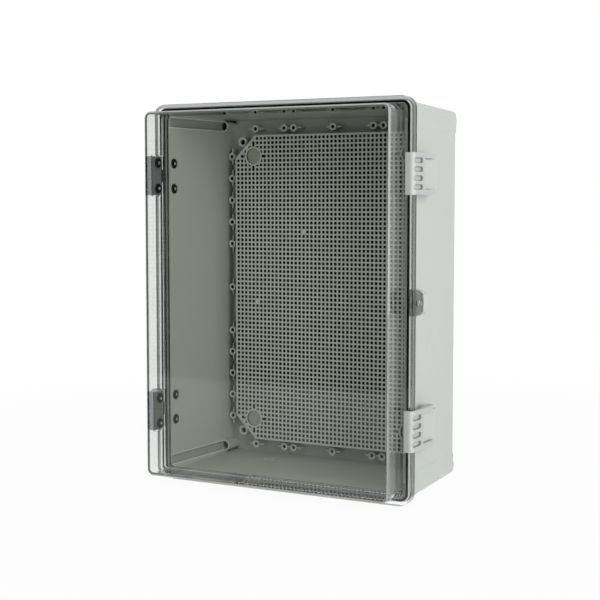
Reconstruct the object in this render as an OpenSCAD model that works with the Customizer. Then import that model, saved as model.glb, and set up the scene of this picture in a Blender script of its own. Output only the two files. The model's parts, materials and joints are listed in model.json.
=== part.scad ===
// Hinged junction box: a drafted base, a clear domed cover on two hinges, two snap latches
// and a perforated mounting plate. The back lies on y = 0, the cover faces -y and +z is up.

/* [Overall] */
// Width over the cover flange
box_w = 300; // [250:1:400]
// Height over the cover flange
box_h = 400; // [350:1:520]
// Depth from the back to the cover's face
box_d = 170; // [160:1:230]

/* [Base] */
// Depth from the back to the face of the base's rim
base_d = 126.5; // [110:0.5:140]
// Wall thickness of the base
base_wall = 3.5; // [2.5:0.1:4.5]
// Thickness of the base's back
floor_t = 4; // [3:0.5:6]
// How far the side walls stand inside the flange outline, at the rim
base_margin_x = 8; // [7:0.5:10]
// How far the top and bottom walls stand inside the flange outline, at the rim
base_margin_y = 3.7; // [3:0.1:8]
// How far each wall leans in from the rim to the back
base_draft = 4; // [1:0.5:5]
// Outside corner radius of the base
base_corner_r = 6; // [5:0.5:12]
// Chamfer round the back
back_chamfer = 2.5; // [1:0.5:3.5]
// Thickness of the rim
rim_t = 8; // [5:0.5:10]
// How far the rim stands inside the flange outline
rim_margin = 3; // [2.5:0.5:3.5]
// Thickness of the tongue that presses on the gasket
tongue_t = 1.2; // [1:0.1:1.5]
// Height of the tongue above the rim
tongue_h = 3; // [2:0.5:3]

/* [Wall mounting] */
// Distance from the flange outline to a wall screw, across
mount_in_x = 16.5; // [16:0.5:18]
// Distance from the flange outline to a wall screw, up and down
mount_in_y = 18; // [16:0.5:22]
// Radius of a wall screw hole
mount_hole_r = 2.5; // [2:0.1:4]
// Radius of the channel that leads a screwdriver to the screw
channel_r = 5; // [4:0.1:5.4]
// Height of the cup that a channel ends in, above the back
mount_cup_h = 26; // [18:0.5:34]
// Depth of the pocket in that cup, down to the seat of the wall screw
mount_pocket_d = 15; // [8:0.5:16]
// Height of the band that stands proud round the corners, at the back
column_h = 26; // [18:0.5:30]
// How far that band stands proud of the side walls
column_proud = 1; // [0.5:0.1:2]

/* [Bosses] */
// Distance from the flange outline to the rows of bosses
boss_in = 21; // [19:0.5:25]
// Spacing of the bosses in the side rows
boss_pitch = 24.75; // [20:0.25:30]
// Radius of a boss
boss_r = 4.2; // [3:0.1:5]
// Radius of the screw hole in a boss
boss_hole_r = 2.1; // [1:0.1:2.4]
// Height of the bosses above the back
boss_h = 11; // [8:0.5:16]
// Radius of the four large corner bosses
corner_boss_r = 5.6; // [5:0.1:8]
// Radius of the socket in a corner boss
corner_boss_hole_r = 3; // [2:0.1:4.6]

/* [Mounting plate] */
// Distance from the flange outline to the side of the plate
plate_in_x = 30.2; // [28:0.1:60]
// Distance from the flange outline to the top or bottom of the plate
plate_in_y = 28.3; // [27:0.1:60]
// Thickness of the plate
plate_t = 4; // [3:0.5:6]
// Distance from the back of the box to the face of the plate
plate_front = 22; // [21:0.5:60]
// Size of the cut corners
plate_chamfer = 25.5; // [18:0.5:28]
// Pitch of the perforation
hole_pitch = 14.8; // [13:0.1:20]
// Side of a square hole
hole_size = 8.1; // [4:0.1:9]
// Plain border between the outline and the first holes
plate_border = 2.2; // [1.5:0.1:6]
// Distance from the side of the plate to a fixing
fix_in_x = 23.4; // [21:0.1:32]
// Distance from the top or bottom of the plate to a fixing
fix_in_y = 23.4; // [21:0.1:34]
// Radius of the well round a fixing
well_r = 8.8; // [7:0.1:9.4]
// Depth of the well
well_d = 5.5; // [4.8:0.1:7]
// Thickness of the floor under the well
well_floor = 2.5; // [2:0.1:4]
// Radius of the posts that carry the plate
post_r = 8; // [6:0.5:10]

/* [Cover] */
// Depth of the flange, skirt included
flange_d = 10; // [9:0.5:12]
// Gap between the rim of the base and the skirt of the cover
rim_gap = 1.5; // [1:0.1:2]
// Thickness of the flange
flange_t = 4; // [3:0.5:5]
// Corner radius of the flange
flange_r = 12.5; // [11:0.5:18]
// Thickness of the skirt
skirt_t = 3.6; // [3.2:0.1:3.8]
// Width of the gasket channel
channel_w = 3; // [2.8:0.1:3.4]
// Width of the gasket
gasket_w = 2.2; // [1.6:0.1:2.3]
// How far the cover's hollow starts inside the flange outline
cavity_in = 12; // [11.5:0.1:13]
// Wall thickness of the dome
cover_wall = 3; // [2:0.1:3.5]
// How far the dome stands inside the flange outline, at the flange
dome_margin = 8.5; // [8:0.1:9]
// How far each side of the dome leans in towards the face
dome_draft = 0.5; // [0.3:0.1:2.5]
// Corner radius of the dome
dome_corner_r = 7; // [5:0.5:10]
// Chamfer round the face
face_chamfer = 1.6; // [0.8:0.1:2]

/* [Hinges] */
// Distance from the top or bottom of the box to the middle of a hinge
hinge_end = 75; // [65:1:100]
// Height of a hinge
hinge_h = 41; // [36:1:50]
// Radius of the knuckles
knuckle_r = 4; // [3.2:0.1:5]
// Radius of the hinge pins
hinge_pin_r = 1.5; // [1:0.1:1.8]
// Distance from the hinge axis to the screws of the cover leaf
cover_screw_reach = 15; // [13:0.5:16]
// Distance from the hinge axis to the screws of the base leaf
base_screw_reach = 15.5; // [14:0.5:18]
// Distance between the two screws of a leaf
hinge_screw_spacing = 26.8; // [22:0.1:30]
// Radius of a hinge screw
hinge_screw_r = 1.9; // [1.5:0.1:2.2]

/* [Latches] */
// Distance from the top or bottom of the box to the middle of a latch
latch_end = 75; // [65:1:100]
// Height of a latch
latch_h = 40.6; // [36:0.1:50]
// Thickness of a latch's plate
latch_t = 3.2; // [2.8:0.1:3.6]
// How far the hook reaches over the flange
hook_reach = 6; // [5.5:0.1:6]
// Distance from the flange's face back to the pivot
pivot_back = 46; // [40:0.5:50]
// Distance from the flange outline in to the pivot
pivot_in = 2.5; // [2:0.1:3]
// Radius of the pivot pin
latch_pin_r = 2; // [1.2:0.1:2.2]
// Thickness of each latch arm
arm_t = 5.2; // [4:0.1:7]
// Number of finger grooves
groove_count = 4; // [2:1:5]

/* [Seal lug] */
// Height of the lug where it leaves the flange
lug_h = 26; // [20:0.5:32]
// How far the lug stands out of the flange outline
lug_reach = 7.6; // [7:0.1:10]
// Size of the cut at the lug's outer corners
lug_cut = 3; // [1:0.1:4]
// Width of the seal slot
lug_slot_w = 3.4; // [2:0.1:4.4]
// Height of the seal slot
lug_slot_h = 6.8; // [5:0.1:9]

/* [Clearances] */
// Between flat faces of parts that move past each other
gap = 0.4; // [0.3:0.05:0.6]
// Round a pin that turns
running = 0.06; // [0.02:0.01:0.1]
// Round a pin or screw that stays put
fixed = 0.03; // [0.01:0.01:0.05]

/* [Hidden] */

$fn = 48;
eps = 0.01;
hull_fn = 32;
both = [-1, 1];

half_w = box_w / 2;
half_h = box_h / 2;

// Outlines of the base at the rim and at the back
base_w1 = box_w - 2 * base_margin_x;
base_h1 = box_h - 2 * base_margin_y;
base_w0 = base_w1 - 2 * base_draft;
base_h0 = base_h1 - 2 * base_draft;
rim_w = box_w - 2 * rim_margin;
rim_h = box_h - 2 * rim_margin;

// Levels from the back to the face
flange_back = base_d + rim_gap;
flange_face = flange_back + flange_d;
channel_top = flange_face - flange_t;
tongue_top = base_d + tongue_h;

// The gasket channel lies between the skirt and the lip. The tongue keeps room on the skirt's
// side for the swing of the cover, and the gasket lies over its middle.
lip_in = skirt_t + channel_w;
tongue_room = 1.2;
tongue_in = skirt_t + tongue_room;
gasket_in = tongue_in + (tongue_t - gasket_w) / 2;

// Dome outlines
dome_w1 = box_w - 2 * dome_margin;
dome_h1 = box_h - 2 * dome_margin;
dome_w0 = dome_w1 - 2 * dome_draft;
dome_h0 = dome_h1 - 2 * dome_draft;
cavity_w = box_w - 2 * cavity_in;
cavity_h = box_h - 2 * cavity_in;

// Wall mounting
mount_x = half_w - mount_in_x;
mount_y = half_h - mount_in_y;
column_low = base_h0 / 2 - column_h;
cup_wall = 1.4;
pocket_r = channel_r - 0.4;
channel_front = base_d - rim_t / 2;
wall_lean = atan(base_draft / base_d);

// Bosses
boss_x = half_w - boss_in;
boss_y = half_h - boss_in;
boss_top = floor_t + boss_h;
fin_t = 1.6;
fin_reach = 5;
fin_drop = 2;
side_boss_reach = boss_y - 2.2 * boss_r - fin_reach;
side_boss_steps = [for (k = [0, 2, 3, 4, 5, 6]) if (k * boss_pitch < side_boss_reach) k];
row_boss_offsets = [0, 49, 61, 98];
corner_boss_in = 14.5;

// Mounting plate
plate_w = box_w - 2 * plate_in_x;
plate_h = box_h - 2 * plate_in_y;
fix_x = plate_w / 2 - fix_in_x;
fix_y = plate_h / 2 - fix_in_y;
well_bottom = plate_front - well_d;
post_top = well_bottom - well_floor;
plate_back = plate_front - plate_t;
rib_t = 2;
rib_h = 3;
well_wall = 2;
fix_slot = [5.2, 2.8];
fix_slot_reach = well_r + well_wall + fix_slot[0] / 2;
fix_clear = fix_slot_reach + fix_slot[0] / 2 + 0.5;
plate_screw_r = 2.4;
plate_screw_head_r = 4.5;
plate_screw_head_h = 1.9;
plate_screw_grip = 8;
cap_recess = 1.8;
cap_t = 1.4;
cap_wall = 1.2;

// Hinge axis and levels, on the left of the box
hinge_spacing = box_h - 2 * hinge_end;
knuckle_gap = 0.5;
hinge_x = -(half_w + knuckle_gap + knuckle_r);
hinge_level = (flange_back + flange_face) / 2;
strap_x = -(half_w + knuckle_gap);
middle_knuckle_h = hinge_h / 3 - gap;
outer_knuckle_h = (hinge_h - middle_knuckle_h) / 2 - gap;
cover_pad_x = -(half_w - 7.5);
cover_leaf_t = 7;
cover_leaf_back = flange_face + 1.5;
cover_leaf_front = hinge_level + cover_screw_reach + 7;
base_pad_x = -(half_w - rim_margin);
base_leaf_t = 4.5;
base_leaf_front = base_d - 0.5;
base_leaf_tail = 8;
base_leaf_back = hinge_level - base_screw_reach - base_leaf_tail;
strap_back = base_leaf_back + 9;
strap_rise = 3;
pad_border = 1;
pad_sink = 8;
base_screw_level = hinge_level - base_screw_reach;
cover_screw_level = hinge_level + cover_screw_reach;
washer_r = 5.2;
washer_t = 1.2;
seat_r = washer_r + 0.4;
screw_head_r = 2.8;
screw_head_h = 2.2;
screw_bite = 3.8;
leaf_hole_r = hinge_screw_r + fixed;
screw_hole_r = hinge_screw_r + 0.2;
base_seat_x = -(half_w - base_margin_x - base_wall + 0.4);
cover_seat_x = -(half_w - cavity_in + 0.2);

// Latches, on the right of the box
latch_spacing = box_h - 2 * latch_end;
pivot_x = half_w - pivot_in;
pivot_level = flange_face - pivot_back;
arm_r = 5;
plate_x = half_w + gap;
latch_x = plate_x + latch_t;
hook_level = flange_face + gap;
latch_front = hook_level + latch_t;
hook_x = half_w - hook_reach;
nib_t = 1.4;
nib_h = 1.3;
web_reach = 23.5;
web_back = pivot_level + web_reach;
corner_r = 5;
bracket_h = latch_h - 2 * arm_t - 2 * 0.5;
bracket_x = half_w + 0.8;
bracket_tail = 18;
bracket_back = pivot_level - bracket_tail;
bracket_front = web_back - 1;
bracket_ramp = 8;
groove_r = 2.6;
groove_depth = 1.8;
groove_pitch = 8.6;
groove_length = 19;
groove_front = latch_front - 1.4;
groove_back = groove_front - groove_length;

// Seal lug
lug_root_x = half_w - rim_margin - 1;
lug_slope = 1.5;
lug_slot_x = half_w + 3.2;
lug_t = 5;

base_colour = [0.80, 0.82, 0.80];
plate_colour = [0.62, 0.64, 0.61];
clear_colour = [0.75, 0.80, 0.82, 0.35];
hinge_colour = [0.33, 0.34, 0.36];
steel_colour = [0.70, 0.71, 0.72];
rubber_colour = [0.08, 0.08, 0.09];

// Shapes are drawn lying on their back and then stood up
module upright() {
    rotate([90, 0, 0]) children();
}

module rounded_rect(w, h, r) {
    square([w - 2 * r, h], center = true);
    square([w, h - 2 * r], center = true);
    for (sx = both, sy = both)
        translate([sx * (w / 2 - r), sy * (h / 2 - r)]) circle(r);
}

// A ring between two rounded outlines, each given as its distance inside the flange outline
module flange_ring(outer_in, inner_in) {
    difference() {
        rounded_rect(box_w - 2 * outer_in, box_h - 2 * outer_in, flange_r - outer_in);
        rounded_rect(box_w - 2 * inner_in, box_h - 2 * inner_in, max(flange_r - inner_in, 2));
    }
}

module slice(level, w, h, r) {
    translate([0, 0, level]) linear_extrude(eps) rounded_rect(w, h, r, $fn = hull_fn);
}

// A plan drawn across the depth, run up and down the box about a middle height
module run_height(height, middle) {
    translate([0, middle + height / 2, 0]) rotate([90, 0, 0]) linear_extrude(height) children();
}

// A rod along the width, from one x to another
module cross_rod(x0, x1, y, level, r) {
    translate([x0, y, level]) rotate([0, 90, 0]) cylinder(h = x1 - x0, r = r);
}

module base_outside() {
    hull() {
        slice(0, base_w0 - 2 * back_chamfer, base_h0 - 2 * back_chamfer, base_corner_r - back_chamfer);
        slice(back_chamfer, base_w0, base_h0, base_corner_r);
        slice(base_d - eps, base_w1, base_h1, base_corner_r);
    }
}

module base_inside() {
    inside_r = base_corner_r - base_wall;
    hull() {
        slice(floor_t, base_w0 - 2 * base_wall, base_h0 - 2 * base_wall, inside_r);
        slice(base_d + tongue_h + 1, base_w1 - 2 * base_wall, base_h1 - 2 * base_wall, inside_r);
    }
}

module rim() {
    translate([0, 0, base_d - rim_t]) linear_extrude(rim_t)
        rounded_rect(rim_w, rim_h, flange_r - rim_margin);
    translate([0, 0, base_d - eps]) linear_extrude(tongue_h + eps)
        flange_ring(tongue_in, tongue_in + tongue_t);
}

// Thickened bands across the top and bottom that hold the wall screws and lean with the walls
module mount_columns() {
    w0 = base_w0 + 2 * column_proud;
    w1 = base_w1 + 2 * column_proud;
    h1 = column_h + base_draft;
    for (sy = both) hull() {
        translate([0, sy * (column_low + column_h / 2), 0]) {
            slice(0, w0 - 2 * back_chamfer, column_h - 2 * back_chamfer, base_corner_r - back_chamfer);
            slice(back_chamfer, w0, column_h, base_corner_r);
        }
        translate([0, sy * (column_low + h1 / 2), 0]) slice(channel_front, w1, h1, base_corner_r);
    }
}

// Pockets at the ends of the channels, with the holes for the wall screws
module mount_pockets() {
    for (sx = both, sy = both) translate([sx * mount_x, sy * mount_y, 0]) {
        translate([0, 0, -1]) cylinder(h = mount_cup_h, r = mount_hole_r);
        translate([0, 0, mount_cup_h - mount_pocket_d]) cylinder(h = mount_pocket_d + 1, r = pocket_r);
    }
}

// Half-round grooves that run down the leaning walls to the wall screws
module mount_channels() {
    for (sx = both, sy = both)
        translate([sx * mount_x, sy * mount_y, mount_cup_h]) rotate([0, sx * wall_lean, 0])
            cylinder(h = channel_front - mount_cup_h, r = channel_r);
}

module mount_cups() {
    for (sx = both, sy = both) translate([sx * mount_x, sy * mount_y, floor_t - 1])
        cylinder(h = mount_cup_h - floor_t + 1, r = channel_r + cup_wall);
}

// One boss with two thin fins along the turned x axis
module boss(turn) {
    difference() {
        union() {
            cylinder(h = boss_top, r = boss_r);
            rotate(turn) translate([-boss_r - fin_reach, -fin_t / 2, 0])
                cube([2 * (boss_r + fin_reach), fin_t, boss_top - fin_drop]);
        }
        translate([0, 0, floor_t + 1]) cylinder(h = boss_top, r = boss_hole_r);
    }
}

module bosses() {
    for (sx = both, k = side_boss_steps, sy = k == 0 ? [1] : both)
        translate([sx * boss_x, sy * k * boss_pitch, 0]) boss(90);
    for (sy = both, x = row_boss_offsets, sx = x == 0 ? [1] : both)
        translate([sx * x, sy * boss_y, 0]) boss(0);
    for (sx = both, sy = both)
        translate([sx * (boss_x - corner_boss_in), sy * (boss_y - corner_boss_in), 0])
            difference() {
                cylinder(h = boss_top, r = corner_boss_r);
                translate([0, 0, floor_t + 1]) cylinder(h = boss_top, r = corner_boss_hole_r);
            }
}

module plate_posts() {
    for (sx = both, sy = both) translate([sx * fix_x, sy * fix_y, 0])
        difference() {
            translate([0, 0, floor_t - 1])
                cylinder(h = post_top - floor_t + 1, r1 = post_r + 1, r2 = post_r);
            translate([0, 0, post_top - plate_screw_grip - 2])
                cylinder(h = plate_screw_grip + 3, r = plate_screw_r + fixed);
        }
}

module hinge_pad(x0, x1, back, front, side) {
    translate([x0, side * hinge_spacing / 2 - hinge_h / 2 - pad_border, back])
        cube([x1 - x0, hinge_h + 2 * pad_border, front - back]);
}

module latch_bracket(side) {
    run_height(bracket_h, side * latch_spacing / 2)
        polygon([
            [half_w - base_margin_x - base_draft - 1, bracket_back - 2],
            [pivot_x + 0.5, bracket_back],
            [bracket_x, bracket_back + bracket_ramp],
            [bracket_x, bracket_front - 4],
            [bracket_x - 2, bracket_front],
            [half_w - base_margin_x - base_draft - 1, bracket_front]
        ]);
}

// The lug that a seal goes through, with its outer corners cut
module seal_lug(back, thickness) {
    tip_x = half_w + lug_reach;
    tip_y = lug_h / 2 - lug_slope;
    translate([0, 0, back]) linear_extrude(thickness) polygon([
        [lug_root_x, -lug_h / 2], [half_w, -lug_h / 2], [tip_x - lug_cut, -tip_y],
        [tip_x, lug_cut - tip_y], [tip_x, tip_y - lug_cut],
        [tip_x - lug_cut, tip_y], [half_w, lug_h / 2], [lug_root_x, lug_h / 2]
    ]);
}

module lug_slot() {
    back = base_d - rim_t - 1;
    depth = flange_face - back + 1;
    straight = lug_slot_h - lug_slot_w;
    for (s = both)
        translate([lug_slot_x, s * straight / 2, back]) cylinder(h = depth, r = lug_slot_w / 2);
    translate([lug_slot_x - lug_slot_w / 2, -straight / 2, back]) cube([lug_slot_w, straight, depth]);
}

// Holes on the two screw lines of a hinge leaf
module hinge_screw_rods(x0, x1, level, side, r) {
    for (s = both)
        cross_rod(x0, x1, side * hinge_spacing / 2 + s * hinge_screw_spacing / 2, level, r);
}

// The outer form of the base, before it is hollowed
module base_body() {
    base_outside();
    rim();
    mount_columns();
    seal_lug(base_d - rim_t, rim_t);
    for (side = both) {
        hinge_pad(base_pad_x, base_pad_x + pad_sink, base_leaf_back - pad_border, base_d, side);
        latch_bracket(side);
    }
}

module base() {
    color(base_colour) upright() {
        difference() {
            union() {
                difference() {
                    base_body();
                    base_inside();
                    mount_channels();
                }
                mount_cups();
            }
            mount_pockets();
            lug_slot();
            for (side = both) {
                hinge_screw_rods(base_pad_x - 1, base_seat_x + 4, base_screw_level, side, screw_hole_r);
                hinge_screw_rods(base_seat_x, base_seat_x + 4, base_screw_level, side, seat_r);
                translate([pivot_x, side * latch_spacing / 2, pivot_level]) rotate([90, 0, 0])
                    cylinder(h = latch_h, r = latch_pin_r + fixed, center = true);
            }
        }
        bosses();
        plate_posts();
    }
}

// A quarter of the plate's outline, drawn in by an even inset
module quarter_outline(inset) {
    x = plate_w / 2 - inset;
    y = plate_h / 2 - inset;
    c = plate_chamfer - inset * (2 - sqrt(2));
    polygon([[0, 0], [x, 0], [x, y - c], [x - c, y], [0, y]]);
}

// True where a hole of the grid clears the cut corner and the fixing
function hole_is_clear(x, y) =
    x + y + hole_size + plate_border < plate_w / 2 + plate_h / 2 - plate_chamfer
    && norm([x - fix_x, y - fix_y]) > fix_clear + hole_size * 0.7;

module quarter_perforation() {
    columns = floor((plate_w / 2 - plate_border - hole_size / 2) / hole_pitch + 0.5);
    rows = floor((plate_h / 2 - plate_border - hole_size / 2) / hole_pitch + 0.5);
    for (i = [1:columns], j = [1:rows]) {
        x = (i - 0.5) * hole_pitch;
        y = (j - 0.5) * hole_pitch;
        if (hole_is_clear(x, y)) translate([x, y]) square(hole_size, center = true);
    }
}

module fixing_slots() {
    for (turn = [0:90:270])
        rotate(turn) translate([fix_slot_reach, 0]) square(fix_slot, center = true);
}

// The well that a screw sits in, below the sheet
module fixing_well() {
    difference() {
        cylinder(h = plate_back - post_top, r = well_r + well_wall);
        translate([0, 0, well_floor]) cylinder(h = well_d, r = well_r);
        translate([0, 0, -1]) cylinder(h = well_floor + 2, r = plate_screw_r + 0.3);
    }
}

module quarter_plate() {
    translate([0, 0, plate_back]) linear_extrude(plate_t) difference() {
        quarter_outline(0);
        quarter_perforation();
        translate([fix_x, fix_y]) {
            fixing_slots();
            circle(well_r);
        }
    }
    translate([0, 0, plate_back - rib_h]) linear_extrude(rib_h) difference() {
        quarter_outline(0);
        quarter_outline(rib_t);
    }
    translate([fix_x, fix_y, post_top]) fixing_well();
}

module mounting_plate() {
    color(plate_colour) upright()
        for (mx = [0, 1], my = [0, 1])
            mirror([mx, 0, 0]) mirror([0, my, 0]) quarter_plate();
}

module plate_screws() {
    color(steel_colour) upright()
        for (sx = both, sy = both) translate([sx * fix_x, sy * fix_y, well_bottom]) {
            cylinder(h = plate_screw_head_h, r = plate_screw_head_r);
            translate([0, 0, -well_floor - plate_screw_grip])
                cylinder(h = well_floor + plate_screw_grip + eps, r = plate_screw_r);
        }
}

// Cups that cover the screw heads and stand on the floor of the wells
module plate_screw_caps() {
    cap_h = well_d - cap_recess;
    color(plate_colour) upright()
        for (sx = both, sy = both) translate([sx * fix_x, sy * fix_y, well_bottom])
            difference() {
                cylinder(h = cap_h, r = well_r - fixed);
                translate([0, 0, -1]) cylinder(h = cap_h - cap_t + 1, r = well_r - fixed - cap_wall);
            }
}

module hinge_bore(side, bore_r) {
    translate([hinge_x, side * hinge_spacing / 2, hinge_level]) rotate([90, 0, 0])
        cylinder(h = hinge_h + 2, r = bore_r, center = true);
}

// The leaf screwed to the base, with the middle knuckle
module hinge_base_leaf(side) {
    middle = side * hinge_spacing / 2;
    outer_x = base_pad_x - base_leaf_t;
    bore_r = hinge_pin_r + fixed;
    color(hinge_colour) upright() difference() {
        union() {
            run_height(hinge_h, middle)
                polygon([
                    [base_pad_x, base_leaf_back], [outer_x + 1.5, base_leaf_back],
                    [outer_x, base_leaf_back + 1.5], [outer_x, base_leaf_front],
                    [base_pad_x, base_leaf_front]
                ]);
            run_height(middle_knuckle_h, middle) {
                polygon([
                    [outer_x, strap_back], [hinge_x, strap_back + strap_rise],
                    [hinge_x, hinge_level], [strap_x, hinge_level],
                    [strap_x, base_leaf_front - 1], [strap_x, strap_back]
                ]);
                translate([hinge_x, hinge_level]) circle(knuckle_r);
            }
        }
        hinge_bore(side, bore_r);
        hinge_screw_rods(base_pad_x - screw_bite, base_pad_x + 1, base_screw_level, side, leaf_hole_r);
    }
}

// The leaf screwed to the cover, with the two outer knuckles
module hinge_cover_leaf(side) {
    middle = side * hinge_spacing / 2;
    outer_x = cover_pad_x - cover_leaf_t;
    bore_r = hinge_pin_r + running;
    color(hinge_colour) upright() difference() {
        union() {
            run_height(hinge_h, middle)
                polygon([
                    [cover_pad_x, cover_leaf_back], [cover_pad_x, cover_leaf_front],
                    [outer_x + 1.5, cover_leaf_front], [outer_x, cover_leaf_front - 1.5],
                    [outer_x, cover_leaf_back]
                ]);
            for (s = both)
                run_height(outer_knuckle_h, middle + s * (hinge_h - outer_knuckle_h) / 2) {
                    polygon([
                        [outer_x + 1, cover_leaf_back], [outer_x + 1, cover_leaf_back + 8],
                        [outer_x, cover_leaf_back + 8], [hinge_x, cover_leaf_back + 3],
                        [hinge_x, hinge_level], [strap_x, hinge_level], [strap_x, cover_leaf_back]
                    ]);
                    translate([hinge_x, hinge_level]) circle(knuckle_r);
                }
        }
        hinge_bore(side, bore_r);
        hinge_screw_rods(cover_pad_x - screw_bite, cover_pad_x + 1, cover_screw_level, side, leaf_hole_r);
    }
}

module hinge_pin(side) {
    color(steel_colour) upright()
        translate([hinge_x, side * hinge_spacing / 2, hinge_level]) rotate([90, 0, 0])
            cylinder(h = hinge_h - 1, r = hinge_pin_r, center = true);
}

// Two pan-head screws driven from inside the box through a wall into a hinge leaf
module hinge_screws(side, seat_x, pad_x, level) {
    color(steel_colour) upright() {
        hinge_screw_rods(pad_x - screw_bite + 0.3, seat_x + washer_t + eps, level, side, hinge_screw_r);
        hinge_screw_rods(seat_x + washer_t, seat_x + washer_t + screw_head_h, level, side, screw_head_r);
    }
}

module hinge_base_screws(side) {
    hinge_screws(side, base_seat_x, base_pad_x, base_screw_level);
}

module hinge_cover_screws(side) {
    hinge_screws(side, cover_seat_x, cover_pad_x, cover_screw_level);
}

module sealing_washers(seat_x, level) {
    color(rubber_colour) upright() difference() {
        for (side = both)
            hinge_screw_rods(seat_x, seat_x + washer_t, level, side, washer_r);
        for (side = both)
            hinge_screw_rods(seat_x - 1, seat_x + washer_t + 1, level, side, hinge_screw_r + fixed);
    }
}

module dome_outside() {
    face_r = dome_corner_r - face_chamfer;
    hull() {
        slice(channel_top, dome_w1, dome_h1, dome_corner_r);
        slice(box_d - face_chamfer, dome_w0, dome_h0, dome_corner_r);
        slice(box_d - eps, dome_w0 - 2 * face_chamfer, dome_h0 - 2 * face_chamfer, face_r);
    }
}

module dome_inside() {
    inside_r = dome_corner_r - cover_wall;
    hull() {
        slice(flange_back - 1, cavity_w, cavity_h, inside_r);
        slice(box_d - cover_wall, dome_w0 - 2 * cover_wall, dome_h0 - 2 * cover_wall, inside_r);
    }
}

// Groove in the flange's face that a latch's nib snaps into
module detent(side) {
    translate([hook_x - gap, side * latch_spacing / 2 - latch_h / 2 - gap, flange_face - nib_h])
        cube([nib_t + 2 * gap, latch_h + 2 * gap, nib_h + 1]);
}

module cover() {
    color(clear_colour) upright() difference() {
        union() {
            translate([0, 0, flange_back]) linear_extrude(flange_d) rounded_rect(box_w, box_h, flange_r);
            dome_outside();
            seal_lug(flange_back, lug_t);
            for (side = both)
                hinge_pad(cover_pad_x, cover_pad_x + 4, channel_top, cover_leaf_front + pad_border, side);
        }
        dome_inside();
        translate([0, 0, flange_back - 1]) linear_extrude(channel_top - flange_back + 1)
            flange_ring(skirt_t, lip_in);
        lug_slot();
        for (side = both) {
            detent(side);
            hinge_screw_rods(cover_pad_x - 1, cover_seat_x + 4, cover_screw_level, side, screw_hole_r);
            hinge_screw_rods(cover_seat_x, cover_seat_x + 4, cover_screw_level, side, seat_r);
        }
    }
}

module gasket() {
    color(rubber_colour) upright()
        translate([0, 0, tongue_top + gap]) linear_extrude(channel_top - tongue_top - gap)
            flange_ring(gasket_in, gasket_in + gasket_w);
}

// Plan of the latch's plate: side plate, rounded corner, hook and nib
module latch_plan() {
    difference() {
        union() {
            translate([hook_x, web_back]) square([latch_x - corner_r - hook_x, latch_front - web_back]);
            translate([hook_x, web_back]) square([latch_x - hook_x, latch_front - corner_r - web_back]);
            translate([latch_x - corner_r, latch_front - corner_r]) circle(corner_r);
        }
        translate([hook_x - 1, web_back - 1])
            square([plate_x - hook_x + 1, hook_level - web_back + 1]);
    }
    translate([hook_x, hook_level - nib_h]) square([nib_t, nib_h + eps]);
}

// Plan of one latch arm, from the pivot to the side plate
module arm_plan() {
    translate([pivot_x, pivot_level]) circle(arm_r);
    polygon([
        [pivot_x + 0.7, pivot_level - arm_r + 0.1], [latch_x, pivot_level - 1],
        [latch_x, web_back + eps], [plate_x, web_back + eps],
        [pivot_x - arm_r + 1.5, pivot_level + 3.5]
    ]);
}

module finger_groove(y) {
    for (level = [groove_back + groove_r, groove_front - groove_r])
        cross_rod(latch_x - groove_depth, latch_x + 1, y, level, groove_r);
    translate([latch_x - groove_depth, y - groove_r, groove_back + groove_r])
        cube([groove_depth + 1, 2 * groove_r, groove_front - groove_back - 2 * groove_r]);
}

module latch(side) {
    middle = side * latch_spacing / 2;
    color(base_colour) upright() difference() {
        union() {
            run_height(latch_h, middle) latch_plan();
            for (s = both)
                run_height(arm_t, middle + s * (latch_h - arm_t) / 2) arm_plan();
        }
        translate([pivot_x, middle, pivot_level]) rotate([90, 0, 0])
            cylinder(h = latch_h + 2, r = latch_pin_r + running, center = true);
        for (k = [0:groove_count - 1])
            finger_groove(middle + (k - (groove_count - 1) / 2) * groove_pitch);
    }
}

module latch_pin(side) {
    color(steel_colour) upright()
        translate([pivot_x, side * latch_spacing / 2, pivot_level]) rotate([90, 0, 0])
            cylinder(h = latch_h - 1, r = latch_pin_r, center = true);
}

base();
mounting_plate();
plate_screws();
plate_screw_caps();
hinge_base_leaf(1);  // upper_hinge_base_leaf
hinge_base_leaf(-1);  // lower_hinge_base_leaf
hinge_cover_leaf(1);  // upper_hinge_cover_leaf
hinge_cover_leaf(-1);  // lower_hinge_cover_leaf
hinge_pin(1);  // upper_hinge_pin
hinge_pin(-1);  // lower_hinge_pin
hinge_base_screws(1);  // upper_hinge_base_screws
hinge_base_screws(-1);  // lower_hinge_base_screws
hinge_cover_screws(1);  // upper_hinge_cover_screws
hinge_cover_screws(-1);  // lower_hinge_cover_screws
sealing_washers(base_seat_x, base_screw_level);  // base_sealing_washers
sealing_washers(cover_seat_x, cover_screw_level);  // cover_sealing_washers
cover();
gasket();
latch(1);  // upper_latch
latch(-1);  // lower_latch
latch_pin(1);  // upper_latch_pin
latch_pin(-1);  // lower_latch_pin
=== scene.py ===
"""A hinged junction box: its mouldings, clear cover, perforated plate, hinges and latches.

In the values below, a pair of levels is where a smooth change starts and where it ends, and a tone is a
factor on a finish's own colour.
"""

import json
import math

import bmesh
import bpy
import numpy as np
from mathutils import Matrix, Vector


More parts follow.
